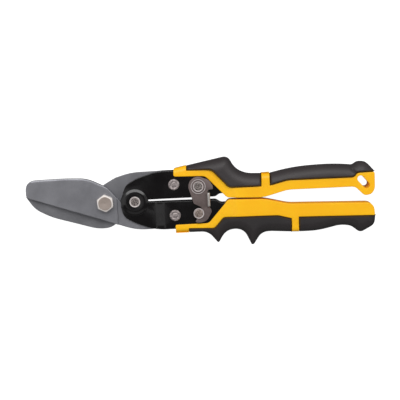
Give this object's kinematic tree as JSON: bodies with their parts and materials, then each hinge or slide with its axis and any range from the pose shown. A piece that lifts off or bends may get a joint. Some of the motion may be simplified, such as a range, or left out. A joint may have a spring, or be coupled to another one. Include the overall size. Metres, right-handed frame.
{
  "type": "aviation snips",
  "caption": "Compound-leverage aviation snips, latched shut: broad offset blades, riveted black plates, yellow and black handles with finger hooks.",
  "frame": {"origin": "axis of the main pivot where the bolt's end meets the surface that the snips lie on", "axes": "+X along the tool from the main pivot to the handles' ends, +Z along the pivots, up from the surface; +Y completes the frame, towards the upper handle"},
  "size_m": [0.3032, 0.0768, 0.0245],
  "materials": {
    "blade_steel": "satin grey forged steel",
    "rivet_steel": "bare zinc-plated steel",
    "latch_steel": "grey stamped steel",
    "spring_steel": "oiled spring wire",
    "black_steel": "gloss black coating",
    "yellow_plastic": "fine-textured yellow moulding",
    "black_rubber": "soft matt overmoulded rubber"
  },
  "bodies": {
    "lower_handle": {"lower_front_plate": "black_steel", "lower_back_plate": "black_steel", "lower_handle_body": "yellow_plastic", "lower_front_grip": "black_rubber", "lower_rear_grip": "black_rubber", "handle_pivot_rivet": "rivet_steel", "handle_pivot_spacer": "rivet_steel", "upper_jaw_rivet": "rivet_steel", "catch_pin": "rivet_steel", "catch_pin_spacer": "rivet_steel", "return_spring": "spring_steel"},
    "upper_handle": {"upper_front_plate": "black_steel", "upper_back_plate": "black_steel", "upper_handle_body": "yellow_plastic", "upper_front_grip": "black_rubber", "upper_rear_grip": "black_rubber", "lower_jaw_rivet": "rivet_steel", "latch_pivot_rivet": "rivet_steel", "latch_wave_washer": "rivet_steel", "latch_pivot_spacer": "rivet_steel"},
    "upper_jaw": {"upper_jaw": "blade_steel", "pivot_bolt": "rivet_steel", "pivot_washer": "rivet_steel", "pivot_nut": "rivet_steel"},
    "lower_jaw": {"lower_jaw": "blade_steel"},
    "latch": {"latch_lever": "latch_steel", "latch_washer": "rivet_steel"}
  },
  "joints": [
    {"name": "handle_pivot", "type": "hinge", "parent": "lower_handle", "child": "upper_handle", "pos_m": [0.0258, 0, 0.011], "axis": [0, 0, 1], "range_deg": [0, 32], "deforming": ["return_spring"]},
    {"name": "upper_jaw_pivot", "type": "hinge", "parent": "lower_handle", "child": "upper_jaw", "pos_m": [0.0601, -0.0134, 0.011], "axis": [0, 0, 1], "range_deg": [0, 7.5]},
    {"name": "lower_jaw_pivot", "type": "hinge", "parent": "upper_handle", "child": "lower_jaw", "pos_m": [0.0601, 0.0134, 0.011], "axis": [0, 0, 1], "range_deg": [-7.5, 0]},
    {"name": "latch_pivot", "type": "hinge", "parent": "upper_handle", "child": "latch", "pos_m": [0.0811, 0.011, 0.011], "axis": [0, 0, 1], "range_deg": [0, 50]}
  ],
  "couplings": [
    {"joint": "upper_jaw_pivot", "follows": "handle_pivot", "ratio": 0.2255},
    {"joint": "lower_jaw_pivot", "follows": "handle_pivot", "ratio": -0.2255},
    {"joint": "latch_pivot", "follows": "handle_pivot", "ratio": 1.5}
  ]
}
